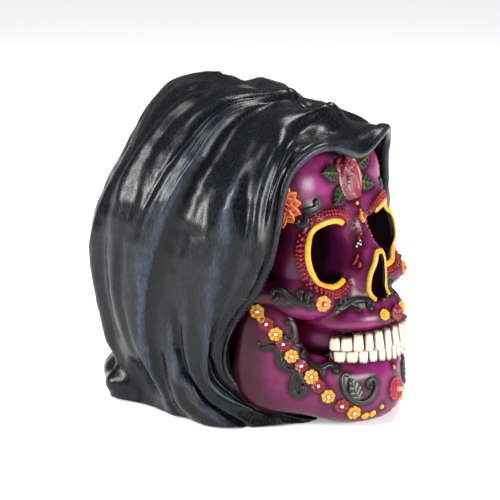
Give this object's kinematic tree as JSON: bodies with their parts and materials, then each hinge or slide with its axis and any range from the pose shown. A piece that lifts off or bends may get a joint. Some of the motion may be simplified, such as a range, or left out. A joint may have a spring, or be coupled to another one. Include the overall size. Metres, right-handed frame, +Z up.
{
  "type": "hooded sugar skull ornament",
  "caption": "Free-standing cast-resin sugar skull under a draped black hood, with relief flowers, scrolls and beadwork painted on the bone.",
  "frame": {"origin": "on the resting plane, under the middle of the whole object's bounding box", "axes": "+Z up; the face looks along -Y; +X is the figure's own left side"},
  "size_m": [0.1132, 0.1509, 0.1406],
  "materials": {
    "base": "black painted resin, flat",
    "yellow_relief": "yellow paint, gloss",
    "orange": "orange paint, gloss",
    "black_relief": "black paint with dark green veins, gloss",
    "red_relief": "dark red paint, gloss",
    "pearl": "cream paint, gloss",
    "cavity": "gloss black paint",
    "red_bead": "dark red paint on beaded relief",
    "yellow_line": "brushed yellow paint, gloss",
    "felt": "black felt",
    "hood": "black paint over cast resin, rubbed with blue-grey on the folds, satin",
    "bone": "magenta-purple paint over cast resin, gloss varnish",
    "teeth": "ivory paint with brown in the gaps, gloss varnish",
    "leaf_green": "dark green paint, gloss"
  },
  "bodies": {
    "root": {"base_plate": "base", "bridge_dots": "yellow_relief", "brow_gem": "orange", "cheek_flower_left": "orange", "cheek_flower_right": "orange", "cheek_scroll_back_left": "black_relief", "cheek_scroll_back_right": "black_relief", "cheek_scroll_front_left": "black_relief", "cheek_scroll_front_right": "black_relief", "chin_dots": "yellow_relief", "chin_flower": "red_relief", "chin_flower_centre": "pearl", "chin_scroll_left": "black_relief", "chin_scroll_right": "black_relief", "eye_cup_left": "cavity", "eye_cup_right": "cavity", "eye_lace_left": "red_bead", "eye_lace_right": "red_bead", "eye_rim_left": "yellow_line", "eye_rim_right": "yellow_line", "felt_pads": "felt", "forehead_rose": "red_relief", "garland_pearls_left": "pearl", "garland_pearls_right": "pearl", "garland_red_left": "red_relief", "garland_red_right": "red_relief", "garland_yellow_left": "yellow_relief", "garland_yellow_right": "yellow_relief", "hood_shell": "hood", "jaw_dots_left": "yellow_relief", "jaw_dots_right": "yellow_relief", "jaw_scroll_lower_left": "black_relief", "jaw_scroll_lower_right": "black_relief", "jaw_scroll_upper_left": "black_relief", "jaw_scroll_upper_right": "black_relief", "lip_rose": "red_relief", "lip_rosette_left": "yellow_relief", "lip_rosette_right": "yellow_relief", "lower_jaw": "bone", "lower_teeth": "teeth", "nose_cup": "cavity", "nose_rim": "yellow_line", "rose_leaf_1": "leaf_green", "rose_leaf_2": "leaf_green", "rose_leaf_3": "leaf_green", "rose_leaf_4": "leaf_green", "skull": "bone", "temple_flower_left": "orange", "temple_flower_right": "orange", "temple_scroll_left": "black_relief", "temple_scroll_right": "black_relief", "upper_teeth": "teeth"}
  },
  "joints": []
}
